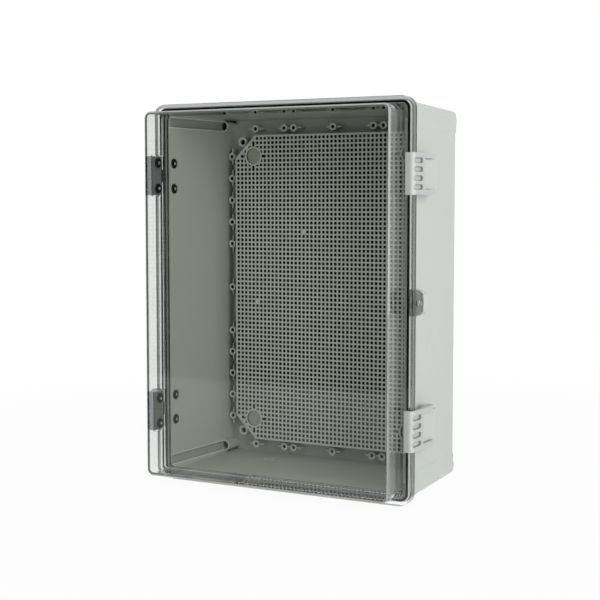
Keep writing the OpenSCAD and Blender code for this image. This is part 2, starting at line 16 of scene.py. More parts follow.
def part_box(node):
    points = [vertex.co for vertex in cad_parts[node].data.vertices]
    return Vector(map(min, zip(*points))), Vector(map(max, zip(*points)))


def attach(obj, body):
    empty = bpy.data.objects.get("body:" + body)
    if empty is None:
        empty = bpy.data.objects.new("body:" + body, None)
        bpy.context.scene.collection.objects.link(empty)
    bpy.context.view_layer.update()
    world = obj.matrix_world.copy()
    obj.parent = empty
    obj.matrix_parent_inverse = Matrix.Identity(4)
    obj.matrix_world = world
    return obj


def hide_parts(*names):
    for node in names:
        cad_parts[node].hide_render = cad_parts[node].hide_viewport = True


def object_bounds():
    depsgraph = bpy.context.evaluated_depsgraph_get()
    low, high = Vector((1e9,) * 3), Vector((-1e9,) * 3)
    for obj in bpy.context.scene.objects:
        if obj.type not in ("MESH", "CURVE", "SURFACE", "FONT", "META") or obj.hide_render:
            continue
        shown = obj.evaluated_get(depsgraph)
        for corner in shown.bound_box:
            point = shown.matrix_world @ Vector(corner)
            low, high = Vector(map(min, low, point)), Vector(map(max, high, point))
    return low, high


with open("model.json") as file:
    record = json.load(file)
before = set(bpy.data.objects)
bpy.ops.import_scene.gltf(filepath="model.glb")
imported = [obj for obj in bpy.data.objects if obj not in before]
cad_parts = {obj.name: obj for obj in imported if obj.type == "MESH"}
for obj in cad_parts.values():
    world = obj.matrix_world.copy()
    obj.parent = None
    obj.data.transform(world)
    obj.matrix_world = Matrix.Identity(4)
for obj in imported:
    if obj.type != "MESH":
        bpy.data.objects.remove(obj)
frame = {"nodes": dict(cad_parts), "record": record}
cad_low, cad_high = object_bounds()

MM = 0.001
WHITE = (1, 1, 1, 1)

# Camera of the photograph, with its angles in degrees
CAMERA_PLACE = (674.3 * MM, -1309.3 * MM, 102.4 * MM)
CAMERA_TURN = 28.93
CAMERA_TILT = -4.42
CAMERA_LENS = 79.78
CAMERA_FILM = 36.0

# Room and table
WORLD_LIGHT = 0.4
ROOM_SHADE = 0.012
ROOM_EDGE = (-0.55, 0.05)
FLOOR_SIZE = 12.0
FLOOR_GAP = 0.5 * MM
FLOOR_SHADE = 0.9
FLOOR_GLOW = 0.22
FLOOR_WHITE_NEAR = 0.95
FLOOR_WHITE_FADE = (0.35, 1.0)
TABLE_SHADE = 0.4
TABLE_EDGE = (-0.9, -0.85)
WHITE_EDGE = (-0.3, -0.2)

# Lamps
LAMP_AIM = (0, -0.1, 0)
KEY_PLACE = (1.9, -1.2, 0.45)
KEY_SIZE = (1.0, 2.0)
KEY_POWER = 31
FILL_PLACE = (-1.0, -1.7, 1.7)
FILL_SIZE = (1.6, 1.6)
FILL_POWER = 16

# Colours, as red, green and blue out of 255
HOUSING_GREY = (200, 206, 200)
LATCH_GREY = (193, 196, 194)
PLATE_GREY = (222, 227, 224)
CAP_GREY = (186, 186, 176)
BASE_LEAF_GREY = (130, 133, 137)
# The cover leaf's grey is painted lighter than the base leaf's to make up for the shade it sits in
# behind the clear cover
COVER_LEAF_BRIGHTENED_GREY = (184, 188, 194)
RUBBER_BLACK = (14, 14, 15)
STEEL_GREY = (168, 170, 172)
BLACKENED_STEEL = (38, 38, 40)
BARE_STEEL = (250, 250, 250)

# Moulded plastic
PLASTIC_IOR = 1.5
FLOW_SIZE = 60 * MM
FLOW_TONES = (0.97, 1.03)
FLOW_SHEEN = 0.06
SPECKLE_SIZE = 1.4 * MM
SPECKLE_TONE = 0.9
SPECKLE_SHARE = 0.12
SPECKLE_SHEEN = 0.03
GRAIN_STRENGTH = 0.25

# Clear cover: smoke in its thick edge, a painted highlight of pale diffuse white along its front edges,
# ripple and haze all over
SMOKE_FADE = 0.5 * MM
SMOKE_TINT = (0.5, 0.51, 0.52, 1)
LUG_START = (150.5 * MM, 152 * MM)
# Painted highlight along the cover's front edges
COVER_HIGHLIGHT_HEIGHT = (163 * MM, 165 * MM)
COVER_HIGHLIGHT_SLOPE = (0.2, 0.45)
COVER_HIGHLIGHT_FRONT = (0.88, 0.97)
COVER_HIGHLIGHT_SHARE = 0.4
COVER_HIGHLIGHT_TINT = (0.84, 0.85, 0.86, 1)
RIPPLE_SIZE = 45 * MM
RIPPLE_DEPTH = 0.2 * MM
RIPPLE_STRENGTH = 0.005
RIPPLE_TINTS = ((0.93, 0.94, 0.94, 1), (0.96, 0.965, 0.965, 1))
HAZE_SIZE = 8 * MM
HAZE_ROUGHNESS = 0.012
LAMP_TINT = (0.765, 0.76, 0.732, 1)

# Sealing rubber
PORE_SIZE = 0.5 * MM
PORE_DEPTH = 0.1 * MM
PORE_STRENGTH = 0.4
DUST_SIZE = 9 * MM
DUST_TONE = 1.8
DUST_SHARE = 0.5
RUBBER_ROUGHNESS = 0.6
DUST_ROUGHNESS = 0.2

# Steel of the pins and screws, with the flat heads of the hinge screws, which are bare in the middle
MARK_SIZE = 0.4 * MM
MARK_DEPTH = 0.05 * MM
MARK_STRENGTH = 0.15
MARK_TONE = 1.45
MARK_ROUGHNESS = 0.14
STEEL_ROUGHNESS = 0.24
BLACKENED_ROUGHNESS = 0.42
TURNED = (1, 1, 1)
DRAWN = (1, 1, 0.05)
HEAD_SHARE = 0.35
BARE_END = (1.4 * MM, 2.0 * MM)

# Wall-screw pockets with their grooves, and bosses, with painted shade in the grooves, pockets and boss
# holes, and painted highlights on the groove lips and the boss tops
WALL_SCREWS = next(mount for mount in frame["record"]["mounts"] if mount["name"] == "wall_screws")
SCREW_X = WALL_SCREWS["dims"]["spacing_x_mm"] / 2 * MM
SCREW_Z = WALL_SCREWS["dims"]["spacing_y_mm"] / 2 * MM
CUP_HEIGHT = 26 * MM
GROOVE_RADIUS = 5 * MM
GROOVE_LEAN = 4 / 126.5
GROOVE_START = (CUP_HEIGHT - 1 * MM, CUP_HEIGHT)
GROOVE_EDGE = (GROOVE_RADIUS + 0.15 * MM, GROOVE_RADIUS + 0.35 * MM)
# Painted shade inside the grooves
GROOVE_SHADE_TONE = 0.75
LIP_EDGE = (GROOVE_RADIUS + 0.8 * MM, GROOVE_RADIUS + 1.4 * MM)
# Painted highlight on the groove lips and on the boss tops
PAINTED_HIGHLIGHT_TONE = 1.5
# Painted shadow deep in the wall-screw pockets
POCKET_FLOOR = (1 * MM, 2 * MM)
POCKET_SHADOW = (CUP_HEIGHT - 9 * MM, CUP_HEIGHT - 2 * MM)
POCKET_SHADE_TONE = 0.01
# Painted highlight on the bosses' front faces
BOSS_TOP = (9 * MM, 11 * MM)
BOSS_LIMIT = (CUP_HEIGHT + 2 * MM, CUP_HEIGHT + 4 * MM)
BOSS_FACING = (0.8, 0.95)
# Painted shade in the bosses' holes and other deep hollows of the inner walls, where little of the
# surroundings is seen
INNER_WALL = (132 * MM, 134 * MM)
SIGHT_SAMPLES = 12
HOLE_REACH = 9 * MM
HOLE_OPEN = (0.12, 0.38)
HOLE_SHADE_TONE = 0.02

# Front edge and finger grooves of the latches, with a painted highlight along the front edge and
# painted shade in the grooves
LATCH_EDGE = (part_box("upper_latch")[1].x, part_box("upper_latch")[0].y)
# Painted highlight along the latch's rounded front edge
LATCH_HIGHLIGHT_BAND = (0.5 * MM, 5 * MM)
LATCH_HIGHLIGHT_TONE = 1.25
# Painted shade in the finger grooves
GRIP_REACH = 3 * MM
GRIP_OPEN = (0.4, 0.92)
GRIP_SHADE_TONE = 0.4

# Perforated plate, with its wells, slots and gate marks
GRID_PITCH = 4.94 * MM
GRID_HOLE = 3.1 * MM
GRID_COLUMNS = 48
GRID_ROWS = 69
# Painted shade: the plate darkens to near black with depth behind its front, in its holes
GRID_SHADOW = (0.05 * MM, 0.6 * MM)
GRID_SHADE_TONE = 0.01
PLATE_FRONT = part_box("mounting_plate")[0].y
PLATE_THICKNESS = 5.5 * MM
PLATE_CHAMFER = 25.5 * MM
RIB_WIDTH = 2 * MM
RIB_HEIGHT = 1.5 * MM
WELL_RADIUS = 8.8 * MM
WELL_PLAY = 0.03 * MM
WELL_RING = 2 * MM
WELL_DEPTH = 5.5 * MM
WELL_FLOOR = 2.5 * MM
WELL_SIDES = 48
SCREW_HOLE_RADIUS = 2.7 * MM
SCREW_HOLE_SIDES = 24
SLOT_LENGTH = 5.2 * MM
SLOT_WIDTH = 2.8 * MM
SLOT_REACH = 13.4 * MM
GATE_MARKS = ((-90 * MM, -13 * MM), (-33.6 * MM, 64 * MM))
GATE_RADIUS = 3 * MM

# Edge radii of the pieces, the steps that round them, and the angles in degrees of flats and edges
BASE_ROUND = 0.5 * MM
COVER_ROUND = 0.8 * MM
LATCH_ROUND = 0.45 * MM
LEAF_ROUND = 0.4 * MM
PIN_ROUND = 0.3 * MM
HINGE_SCREW_ROUND = 0.6 * MM
PLATE_SCREW_ROUND = 0.4 * MM
CAP_ROUND = 0.3 * MM
WASHER_ROUND = 0.4 * MM
GASKET_ROUND = 0.6 * MM
PLAIN_STEPS = 2
FINE_STEPS = 3
WELD_GAP = 0.001 * MM
FLAT_ANGLE = 0.6
EDGE_ANGLE = 40
FLAT_WEIGHT = 100


class Wire:
    """A socket in a finish's node tree. Arithmetic on it adds the Math nodes it needs."""

    def __init__(self, finish, socket):
        self.finish = finish
        self.socket = socket

    def math(self, operation, first, second):
        return self.finish.node("ShaderNodeMath", {"operation": operation}, {0: first, 1: second})

    def __add__(self, other):
        return self.math("ADD", self, other)

    def __radd__(self, other):
        return self.math("ADD", other, self)

    def __sub__(self, other):
        return self.math("SUBTRACT", self, other)

    def __rsub__(self, other):
        return self.math("SUBTRACT", other, self)

    def __mul__(self, other):
        return self.math("MULTIPLY", self, other)

    def __rmul__(self, other):
        return self.math("MULTIPLY", other, self)

    def __pow__(self, other):
        return self.math("POWER", self, other)


class Finish:
    """A material or world under construction."""

    def __init__(self, owner):
        self.owner = owner
        owner.use_nodes = True
        self.tree = owner.node_tree
        self.tree.nodes.clear()

    def node(self, kind, settings=None, sockets=None, out=0):
        """Adds a node with its settings, then its sockets' values or links, and gives one output."""
        made = self.tree.nodes.new(kind)
        for name, value in (settings or {}).items():
            setattr(made, name, value)
        for key, value in (sockets or {}).items():
            if isinstance(value, Wire):
                self.tree.links.new(value.socket, made.inputs[key])
            else:
                made.inputs[key].default_value = value
        if not made.outputs:
            return None
        return Wire(self, made.outputs[out])

    def mix_colour(self, share, first, second):
        return self.node("ShaderNodeMix", {"data_type": "RGBA"}, {0: share, 6: first, 7: second}, out=2)

    def mix_shader(self, share, first, second):
        return self.node("ShaderNodeMixShader", None, {0: share, 1: first, 2: second})

    def noise(self, size, detail, stretch=None):
        """Even noise with features of about the given size in metres."""
        place = self.node("ShaderNodeTexCoord", out="Object")
        if stretch:
            place = self.node("ShaderNodeVectorMath", {"operation": "MULTIPLY"}, {0: place, 1: stretch})
        sockets = {"Vector": place, "Scale": 1 / size, "Detail": detail}
        return self.node("ShaderNodeTexNoise", None, sockets)

    def relief(self, height, depth, strength):
        """A normal that follows a height, for a relief of the given depth in metres."""
        sockets = {"Strength": strength, "Distance": depth, "Height": height}
        return self.node("ShaderNodeBump", None, sockets)

    def plain_shader(self, kind, colour, strength=None):
        sockets = {"Color": colour}
        if strength is not None:
            sockets["Strength"] = strength
        return self.node(kind, None, sockets)

    def surface(self, shader):
        self.node("ShaderNodeOutputMaterial", None, {"Surface": shader})
        return self.owner


def shade(srgb, factor=1.0):
    """A colour given as red, green and blue out of 255, as the linear values that a shader takes."""
    parts = [value / 255 for value in srgb]
    linear = [p / 12.92 if p <= 0.04045 else ((p + 0.055) / 1.055) ** 2.4 for p in parts]
    return (*[value * factor for value in linear], 1.0)


def grey(level):
    return (level, level, level, 1)


def ramp(finish, value, low, high):
    """0 below the low value, 1 above the high one and smooth between them."""
    return finish.node(
        "ShaderNodeMapRange", {"interpolation_type": "SMOOTHSTEP"},
        {"Value": value, "From Min": low, "From Max": high, "To Min": 0.0, "To Max": 1.0},
    )


def split(finish, output):
    """The three parts of a texture coordinate."""
    place = finish.node("ShaderNodeTexCoord", out=output)
    return [finish.node("ShaderNodeSeparateXYZ", None, {0: place}, out=axis) for axis in "XYZ"]


def size_of(finish, value):
    return finish.node("ShaderNodeMath", {"operation": "ABSOLUTE"}, {0: value})


def larger(finish, first, second):
    return finish.node("ShaderNodeMath", {"operation": "MAXIMUM"}, {0: first, 1: second})


def distance(first, second):
    """The length of a step with two parts at a right angle."""
    return (first * first + second * second) ** 0.5


def sight(finish, reach):
    """The share of the surroundings that a point sees past its own piece, up to a reach."""
    settings = {"samples": SIGHT_SAMPLES, "only_local": True}
    return finish.node("ShaderNodeAmbientOcclusion", settings, {"Distance": reach}, out="AO")


def ray_share(finish, *kinds):
    """1 for rays of the named kinds, else 0."""
    shares = [finish.node("ShaderNodeLightPath", out=kind) for kind in kinds]
    total = shares[0]
    for share in shares[1:]:
        total = larger(finish, total, share)
    return total


def plate_hole_painted_shade(finish, colour, srgb):
    """Painted shade in the plate's holes: the colour darkens to near black with depth behind the
    plate's front.
    """
    depth = split(finish, "Object")[1] - PLATE_FRONT
    return finish.mix_colour(ramp(finish, depth, *GRID_SHADOW), colour, shade(srgb, GRID_SHADE_TONE))


def housing_painted_light(finish, colour, srgb):
    """Painted highlights on the groove lips and the boss tops, painted shade in the grooves and the
    hollows, and painted shadow in the bosses' holes and the wall-screw pockets.
    """
    across, depth, up = split(finish, "Object")
    height = 0 - depth
    past_cup = larger(finish, height - CUP_HEIGHT, 0.0)
    off_x = size_of(finish, across) - SCREW_X - past_cup * GROOVE_LEAN
    off_z = size_of(finish, up) - SCREW_Z
    radius = distance(off_x, off_z)
    groove = 1 - ramp(finish, radius, *GROOVE_EDGE)
    lip_highlight = (1 - groove) * (1 - ramp(finish, radius, *LIP_EDGE))
    in_front = ramp(finish, height, *GROOVE_START)
    # Painted shade inside the grooves, and a painted highlight on their lips
    colour = finish.mix_colour(groove * in_front, colour, shade(srgb, GROOVE_SHADE_TONE))
    colour = finish.mix_colour(lip_highlight * in_front, colour, shade(srgb, PAINTED_HIGHLIGHT_TONE))
    # Painted highlight on the front faces of the bosses
    facing = 0 - split(finish, "Normal")[1]
    top_highlight = ramp(finish, facing, *BOSS_FACING) * ramp(finish, height, *BOSS_TOP)
    top_highlight = top_highlight * (1 - ramp(finish, height, *BOSS_LIMIT)) * (1 - groove)
    colour = finish.mix_colour(top_highlight, colour, shade(srgb, PAINTED_HIGHLIGHT_TONE))
    # Painted shade deep in the bosses' holes and other hollows of the inner walls
    inside = 1 - ramp(finish, size_of(finish, across), *INNER_WALL)
    hollow_shade = inside * (1 - groove) * (1 - ramp(finish, sight(finish, HOLE_REACH), *HOLE_OPEN))
    colour = finish.mix_colour(hollow_shade, colour, shade(srgb, HOLE_SHADE_TONE))
    # Painted shadow deep in the wall-screw pockets
    in_pocket = ramp(finish, height, *POCKET_FLOOR) * (1 - ramp(finish, height, *POCKET_SHADOW))
    return finish.mix_colour(groove * in_pocket, colour, shade(srgb, POCKET_SHADE_TONE))


def latch_painted_light(finish, colour, srgb):
    """A painted highlight along the rounded front edge, and painted shade in the finger grooves."""
    across, depth, _ = split(finish, "Object")
    from_edge = distance(LATCH_EDGE[0] - across, depth - LATCH_EDGE[1])
    front_highlight = 1 - ramp(finish, from_edge, *LATCH_HIGHLIGHT_BAND)
    # Painted highlight along the front edge
    colour = finish.mix_colour(front_highlight, colour, shade(srgb, LATCH_HIGHLIGHT_TONE))
    # Painted shade where the finger grooves see little of their surroundings
    unshaded = ramp(finish, sight(finish, GRIP_REACH), *GRIP_OPEN)
    return finish.mix_colour(unshaded, shade(srgb, GRIP_SHADE_TONE), colour)


def moulded_plastic(name, srgb, roughness, grain_size, grain_depth, tone=None):
    """Injection-moulded plastic: faint flow clouds, a fine tool texture and an uneven sheen."""
    finish = Finish(bpy.data.materials.new(name))
    clouds = finish.noise(FLOW_SIZE, detail=4.0)
    speckle = finish.noise(SPECKLE_SIZE, detail=3.0)
    grain = finish.noise(grain_size, detail=2.0)
    body = finish.mix_colour(clouds, shade(srgb, FLOW_TONES[0]), shade(srgb, FLOW_TONES[1]))
    colour = finish.mix_colour(speckle * SPECKLE_SHARE, body, shade(srgb, SPECKLE_TONE))
    if tone:
        colour = tone(finish, colour, srgb)
    sheen = roughness + (clouds - 0.5) * FLOW_SHEEN + (speckle - 0.5) * SPECKLE_SHEEN
    normal = finish.relief(grain, grain_depth, GRAIN_STRENGTH)
    return finish.surface(finish.node(
        "ShaderNodeBsdfPrincipled", None,
        {"Base Color": colour, "Roughness": sheen, "Normal": normal, "IOR": PLASTIC_IOR},
    ))


def clear_plastic(name, seal):
    """Clear moulded plastic. It refracts what is behind it, and lamp light goes straight in.

    The thick edge outside the seal looks smokier, and a painted highlight of pale diffuse white runs
    along the front edges.
    """
    finish = Finish(bpy.data.materials.new(name))
    across, depth, up = split(finish, "Object")
    beside = ramp(finish, across, seal.x, seal.x + SMOKE_FADE)
    above = ramp(finish, up, seal.z, seal.z + SMOKE_FADE)
    thick = larger(finish, beside, above) * (1 - ramp(finish, across, *LUG_START))
    facing = 0 - split(finish, "Normal")[1]
    edge = ramp(finish, facing, *COVER_HIGHLIGHT_SLOPE) * (1 - ramp(finish, facing, *COVER_HIGHLIGHT_FRONT))
    edge = edge * ramp(finish, 0 - depth, *COVER_HIGHLIGHT_HEIGHT)
    ripple = finish.noise(RIPPLE_SIZE, detail=1.0)
    haze = finish.noise(HAZE_SIZE, detail=3.0)
    tint = finish.mix_colour(ripple, *RIPPLE_TINTS)
    tint = finish.mix_colour(thick, tint, SMOKE_TINT)
    glass = finish.node(
        "ShaderNodeBsdfPrincipled", None,
        {
            "Base Color": tint, "Roughness": haze * HAZE_ROUGHNESS, "IOR": PLASTIC_IOR,
            "Transmission Weight": 1.0, "Normal": finish.relief(ripple, RIPPLE_DEPTH, RIPPLE_STRENGTH),
        },
    )
    # Painted highlight: pale diffuse white mixed into the front edges
    highlight_layer = finish.plain_shader("ShaderNodeBsdfDiffuse", COVER_HIGHLIGHT_TINT)
    body = finish.mix_shader(edge * COVER_HIGHLIGHT_SHARE, glass, highlight_layer)
    straight = finish.plain_shader("ShaderNodeBsdfTransparent", LAMP_TINT)
    lamp_light = ray_share(finish, "Is Shadow Ray", "Is Diffuse Ray")
    return finish.surface(finish.mix_shader(lamp_light, body, straight))


def rubber(name, srgb):
    """Fine-pored rubber with a little dust."""
    finish = Finish(bpy.data.materials.new(name))
    pores = finish.noise(PORE_SIZE, detail=2.0)
    dust = finish.noise(DUST_SIZE, detail=4.0)
    colour = finish.mix_colour(dust * DUST_SHARE, shade(srgb), shade(srgb, DUST_TONE))
    roughness = RUBBER_ROUGHNESS + dust * DUST_ROUGHNESS
    normal = finish.relief(pores, PORE_DEPTH, PORE_STRENGTH)
    return finish.surface(finish.node(
        "ShaderNodeBsdfPrincipled", None,
        {"Base Color": colour, "Roughness": roughness, "Normal": normal},
    ))


def steel(name, srgb, stretch):
    """Drawn or turned steel, with marks along the stretched direction."""
    finish = Finish(bpy.data.materials.new(name))
    marks = finish.noise(MARK_SIZE, detail=3.0, stretch=stretch)
    colour = finish.mix_colour(marks, shade(srgb), shade(srgb, MARK_TONE))
    roughness = STEEL_ROUGHNESS + marks * MARK_ROUGHNESS
    normal = finish.relief(marks, MARK_DEPTH, MARK_STRENGTH)
    return finish.surface(finish.node(
        "ShaderNodeBsdfPrincipled", None,
        {"Base Color": colour, "Metallic": 1.0, "Roughness": roughness, "Normal": normal},
    ))


def hinge_screw_steel(node):
    """Blackened screws with bare ends, for a pair one above the other."""
    low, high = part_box(node)
    radius = (high.y - low.y) / 2
    middle = (low + high) / 2
    finish = Finish(bpy.data.materials.new(node + "_steel"))
    _, depth, up = split(finish, "Object")
    off_z = size_of(finish, up - middle.z) - (high.z - middle.z - radius)
    from_axis = distance(depth - middle.y, off_z)
    marks = finish.noise(MARK_SIZE, detail=3.0)
    bare = 1 - ramp(finish, from_axis, *BARE_END)
    colour = finish.mix_colour(bare, shade(BLACKENED_STEEL), shade(BARE_STEEL))
    roughness = BLACKENED_ROUGHNESS + marks * MARK_ROUGHNESS
    return finish.surface(finish.node(
        "ShaderNodeBsdfPrincipled", None,
        {"Base Color": colour, "Metallic": 1.0, "Roughness": roughness},
    ))


HOUSING = moulded_plastic(
    "housing_plastic", HOUSING_GREY, roughness=0.26, grain_size=0.35 * MM, grain_depth=0.02 * MM,
    tone=housing_painted_light,
)
LATCH = moulded_plastic(
    "latch_plastic", LATCH_GREY, roughness=0.4, grain_size=0.3 * MM, grain_depth=0.03 * MM,
    tone=latch_painted_light,
)
PLATE = moulded_plastic(
    "plate_plastic", PLATE_GREY, roughness=0.45, grain_size=0.4 * MM, grain_depth=0.04 * MM,
    tone=plate_hole_painted_shade,
)
CAP = moulded_plastic(
    "cap_plastic", CAP_GREY, roughness=0.45, grain_size=0.4 * MM, grain_depth=0.04 * MM,
)
BASE_LEAF = moulded_plastic(
    "hinge_plastic", BASE_LEAF_GREY, roughness=0.38, grain_size=0.3 * MM, grain_depth=0.04 * MM,
)
COVER_LEAF = moulded_plastic(
    "cover_hinge_plastic", COVER_LEAF_BRIGHTENED_GREY, roughness=0.38, grain_size=0.3 * MM, grain_depth=0.04 * MM,
)
CLEAR = clear_plastic("clear_cover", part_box("gasket")[1])
RUBBER = rubber("sealing_rubber", RUBBER_BLACK)
SCREW_STEEL = steel("screw_steel", STEEL_GREY, TURNED)
PIN_STEEL = steel("pin_steel", STEEL_GREY, DRAWN)


def new_piece(name, mesh, material, body):
    """Adds a mesh to the scene as a piece of the object, on a body of the frame."""
    piece = bpy.data.objects.new(name, mesh)
    bpy.context.scene.collection.objects.link(piece)
    mesh.materials.clear()
    mesh.materials.append(material)
    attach(piece, body)
    return piece


def body_of_node(node):
    bodies = frame["record"]["behaviour"]["bodies"]
    return next(body for body, members in bodies.items() if node in members)


def clean_copy(node):
    """A node's mesh with its seams welded and its flat triangles joined."""
    mesh = frame["nodes"][node].data.copy()
    for attribute in ("custom_normal", "sharp_edge", "sharp_face"):
        if attribute in mesh.attributes:
            mesh.attributes.remove(mesh.attributes[attribute])
    shape = bmesh.new()
    shape.from_mesh(mesh)
    bmesh.ops.remove_doubles(shape, verts=shape.verts, dist=WELD_GAP)
    bmesh.ops.dissolve_limit(
        shape, angle_limit=math.radians(FLAT_ANGLE), verts=shape.verts, edges=shape.edges
    )
    shape.to_mesh(mesh)
    shape.free()
    return mesh


def soften(piece, width, steps):
    """Rounds a piece's sharp edges as a mould does, and keeps its flats flat."""
    piece.data.shade_smooth()
    bevel = piece.modifiers.new("edge_radius", "BEVEL")
    bevel.width = width
    bevel.segments = steps
    bevel.limit_method = "ANGLE"
    bevel.angle_limit = math.radians(EDGE_ANGLE)
    bevel.use_clamp_overlap = True
    normals = piece.modifiers.new("flat_faces", "WEIGHTED_NORMAL")
    normals.weight = FLAT_WEIGHT
    normals.keep_sharp = True


def moulding(node, material, width, steps=PLAIN_STEPS):
    """A node's own solid with rounded edges, in its place."""
    piece = new_piece(node + "_moulding", clean_copy(node), material, body_of_node(node))
    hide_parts(node)
    soften(piece, width, steps)
    return piece


def flatten_heads(piece, seat):
    """Presses a piece's screw heads down onto the washers that they lie on."""
    for vertex in piece.data.vertices:
        if vertex.co.x > seat:
            vertex.co.x = seat + (vertex.co.x - seat) * HEAD_SHARE


def lattice_lines(count, half):
    """Positions of the outer edges and of both edges of every hole along one direction."""
    centres = (np.arange(count) - (count - 1) / 2) * GRID_PITCH
    edges = np.sort(np.concatenate([centres - GRID_HOLE / 2, centres + GRID_HOLE / 2]))
    return np.concatenate([[-half], edges, [half]])


def is_plain(x, z, half_w, half_h, well):
    """True where the plate has no hole: at the wells, the cut corners and the gate marks."""
    in_well = math.hypot(abs(x) - well[0], abs(z) - well[1]) < WELL_RADIUS
    past_corner = abs(x) + abs(z) + GRID_PITCH > half_w + half_h - PLATE_CHAMFER
    at_gate = any(math.hypot(x - gx, z - gz) < GATE_RADIUS for gx, gz in GATE_MARKS)
    return in_well or past_corner or at_gate


def perforated_sheet(half_w, half_h, front, back, well):
    """A closed sheet with a grid of square holes, as a mesh of its own cells."""
    xs = lattice_lines(GRID_COLUMNS, half_w)
    zs = lattice_lines(GRID_ROWS, half_h)
    columns = len(xs) - 1
    rows = len(zs) - 1
    solid = np.ones((columns, rows), bool)
    for i in range(1, columns, 2):
        for j in range(1, rows, 2):
            x = (xs[i] + xs[i + 1]) / 2
            z = (zs[j] + zs[j + 1]) / 2
            solid[i, j] = is_plain(x, z, half_w, half_h, well)
    verts = [(x, y, z) for y in (front, back) for x in xs for z in zs]
    layer = len(xs) * len(zs)

    def corner(place, side):
        return side * layer + place[0] * len(zs) + place[1]

    def filled(i, j):
        return 0 <= i < columns and 0 <= j < rows and solid[i, j]

    faces = []
    for i in range(columns):
        for j in range(rows):
            if not solid[i, j]:
                continue
            ring = [(i, j), (i + 1, j), (i + 1, j + 1), (i, j + 1)]
            faces.append([corner(place, 0) for place in ring])
            faces.append([corner(place, 1) for place in reversed(ring)])
            for (di, dj), a, b in (
                ((0, -1), ring[0], ring[1]), ((1, 0), ring[1], ring[2]),
                ((0, 1), ring[2], ring[3]), ((-1, 0), ring[3], ring[0]),
            ):
                if not filled(i + di, j + dj):
                    faces.append([corner(b, 0), corner(a, 0), corner(a, 1), corner(b, 1)])
    mesh = bpy.data.meshes.new("perforated_sheet")
    mesh.from_pydata(verts, [], faces)
    shape = bmesh.new()
    shape.from_mesh(mesh)
    loose = [v for v in shape.verts if not v.link_faces]
    bmesh.ops.delete(shape, geom=loose, context="VERTS")
    bmesh.ops.recalc_face_normals(shape, faces=shape.faces)
    shape.to_mesh(mesh)
    shape.free()
    return mesh


def add_box(shape, centre, size, turn):
    """A box about a centre, turned about the depth axis."""
    place = Matrix.Translation(centre) @ Matrix.Rotation(turn, 4, "Y") @ Matrix.Diagonal((*size, 1))
    bmesh.ops.create_cube(shape, size=1.0, matrix=place)


def add_rod(shape, centre, radius, length, sides):
    """A closed rod along the depth axis, given by its middle."""
    turn = Vector((0, 0, 1)).rotation_difference(Vector((0, 1, 0))).to_matrix().to_4x4()
    bmesh.ops.create_cone(
        shape, cap_ends=True, segments=sides, radius1=radius, radius2=radius, depth=length,
        matrix=Matrix.Translation(centre) @ turn,
    )


def finished_mesh(shape, name):
    mesh = bpy.data.meshes.new(name)
    shape.to_mesh(mesh)
    shape.free()
    return mesh


def combine(piece, other_mesh, operation):
    """Joins a closed mesh to a piece, or takes it away, for good."""
    other = bpy.data.objects.new("other", other_mesh)
    bpy.context.scene.collection.objects.link(other)
    change = piece.modifiers.new("combine", "BOOLEAN")
    change.operation = operation
    change.solver = "MANIFOLD"
    change.object = other
    bpy.context.view_layer.update()
    done = piece.evaluated_get(bpy.context.evaluated_depsgraph_get())
    mesh = bpy.data.meshes.new_from_object(done)
    piece.modifiers.remove(change)
    bpy.data.objects.remove(other)
    piece.data = mesh


def cut_corner_outline(half_w, half_h, inset):
    """The plate's outline, drawn in by an even inset, as points across and up."""
    w = half_w - inset
    h = half_h - inset
    c = PLATE_CHAMFER - inset * (2 - math.sqrt(2))
    quarter = [(w, h - c), (w - c, h)]
    half = quarter + [(-x, z) for x, z in reversed(quarter)]
    return half + [(-x, -z) for x, z in half]


def add_frame(shape, outer, inner, front, back):
    """A closed frame between two outlines of as many points."""
    rings = [
        [shape.verts.new((x, y, z)) for x, z in outline]
        for outline, y in ((outer, front), (outer, back), (inner, back), (inner, front))
    ]
    count = len(outer)
    for first, second in zip(rings, rings[1:] + rings[:1]):
        for k in range(count):
            after = (k + 1) % count
            shape.faces.new((first[k], first[after], second[after], second[k]))
    bmesh.ops.recalc_face_normals(shape, faces=shape.faces)


def four_ways(place):
    """A place across and up, with its mirror images."""
    return [(sx * place[0], sz * place[1]) for sx in (-1, 1) for sz in (-1, 1)]


